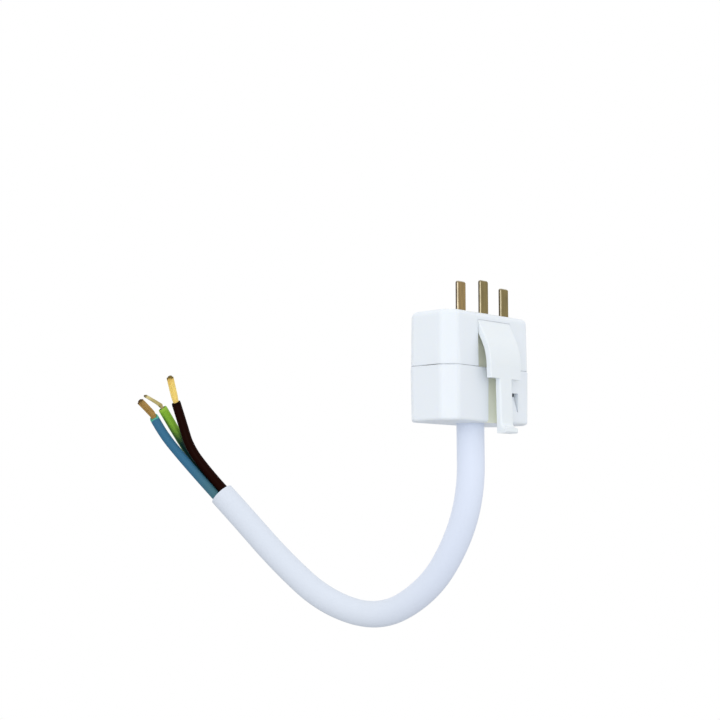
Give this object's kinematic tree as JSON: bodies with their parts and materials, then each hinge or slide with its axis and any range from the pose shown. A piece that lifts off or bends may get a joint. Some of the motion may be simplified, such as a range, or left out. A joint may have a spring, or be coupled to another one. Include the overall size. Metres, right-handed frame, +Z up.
{
  "type": "ceiling light plug",
  "caption": "Ceiling light plug: two-part moulded housing with a row of flat blades, a barbed latch lever with a finger tab, and a short stiff cord with stripped cores.",
  "frame": {"origin": "centre of the flat seating face that meets the ceiling outlet", "axes": "+Z up along the blades, out of the seating face; X along the row of blades; the latch is on the -Y side"},
  "size_m": [0.0545, 0.1272, 0.1014],
  "materials": {
    "housing_white": "moulded satin gloss, bluish white",
    "latch_white": "moulded satin gloss, bluish white",
    "clamp_white": "moulded, matt",
    "blade_brass": "pressed strip, dulled",
    "screw_steel": "zinc plated",
    "sheath_white": "extruded PVC, soft sheen, lavender white",
    "insulation_brown": "extruded PVC, very dark brown",
    "insulation_blue": "extruded PVC, blue",
    "insulation_green_yellow": "extruded PVC, green with yellow stripes",
    "conductor_copper": "bare fine-stranded copper"
  },
  "bodies": {
    "housing": {"base_shell": "housing_white", "cover_shell": "housing_white", "blade_live": "blade_brass", "blade_earth": "blade_brass", "blade_neutral": "blade_brass", "terminal_screws": "screw_steel", "terminal_washers": "screw_steel", "cord_clamp_bar": "clamp_white", "cord_clamp_screws": "screw_steel", "cord_sheath": "sheath_white", "core_brown": "insulation_brown", "core_blue": "insulation_blue", "core_green_yellow": "insulation_green_yellow", "wire_end_brown": "conductor_copper", "wire_end_blue": "conductor_copper", "wire_end_green_yellow": "conductor_copper", "lead_live": "insulation_brown", "lead_neutral": "insulation_blue", "lead_earth": "insulation_green_yellow", "lead_end_live": "conductor_copper", "lead_end_neutral": "conductor_copper", "lead_end_earth": "conductor_copper"},
    "latch": {"latch_lever": "latch_white"}
  },
  "joints": [
    {"name": "latch_hinge", "type": "hinge", "parent": "housing", "child": "latch", "pos_m": [0.0004, -0.00742, -0.0046], "axis": [1, 0, 0], "range_deg": [0, 8], "stiffness_Nm_per_rad": 0.1, "springref_deg": -5.73}
  ]
}
